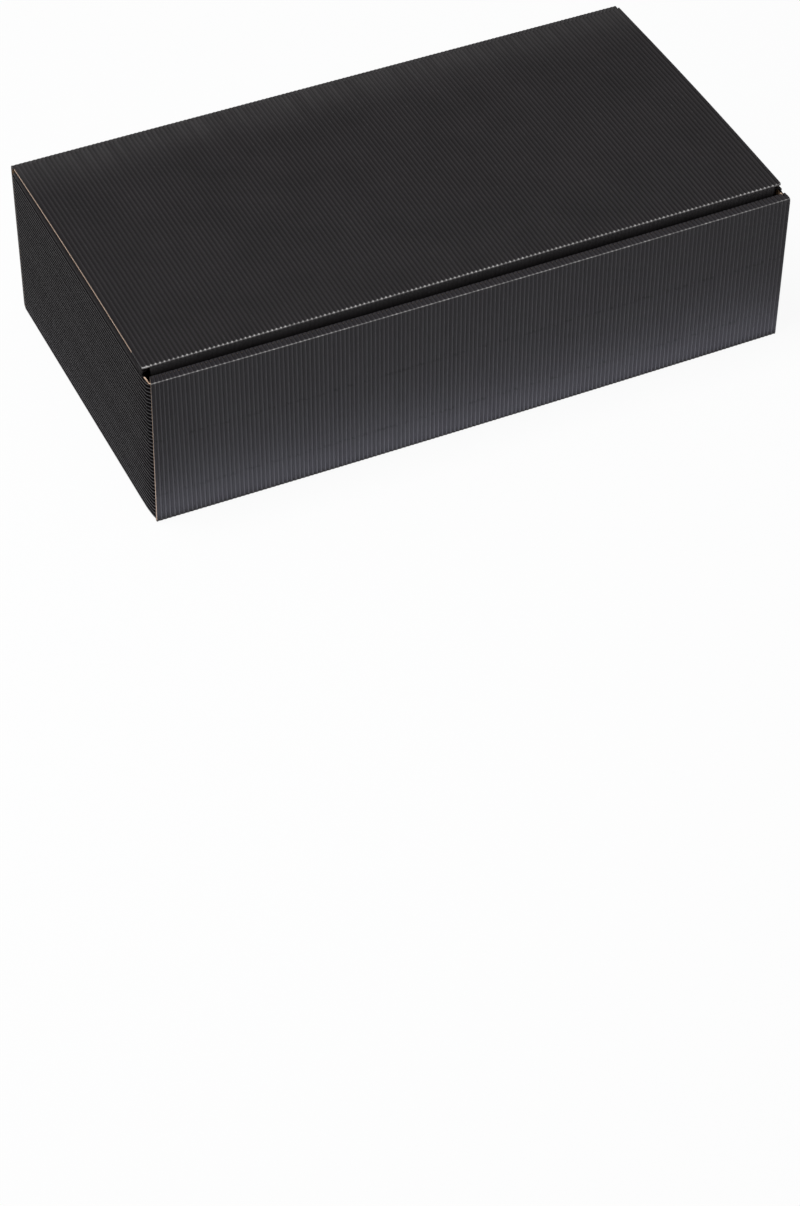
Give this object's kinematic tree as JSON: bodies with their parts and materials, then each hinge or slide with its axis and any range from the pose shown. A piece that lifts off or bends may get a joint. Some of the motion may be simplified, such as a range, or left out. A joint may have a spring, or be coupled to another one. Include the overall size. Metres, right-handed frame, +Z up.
{
  "type": "bottle shipping box",
  "caption": "Flat folding box of black open-flute corrugated board for two bottles, with a hinged tuck-in lid, rolled front lip and an inner divider.",
  "frame": {"origin": "middle of the footprint, on the plane that the box stands on", "axes": "+X along the bottles, +Y from the front to the hinged back, +Z up"},
  "size_m": [0.366, 0.196, 0.097],
  "materials": {
    "black_board": "matt black open-flute corrugated board, brown at raw edges and inside",
    "divider_board": "plain brown board"
  },
  "bodies": {
    "box": {"tray": "black_board", "bottle_divider": "divider_board"},
    "lid": {"lid": "black_board"}
  },
  "joints": [
    {"name": "lid_hinge", "type": "hinge", "parent": "box", "child": "lid", "pos_m": [0, 0.098, 0.097], "axis": [-1, 0, 0], "range_deg": [0, 180]}
  ]
}
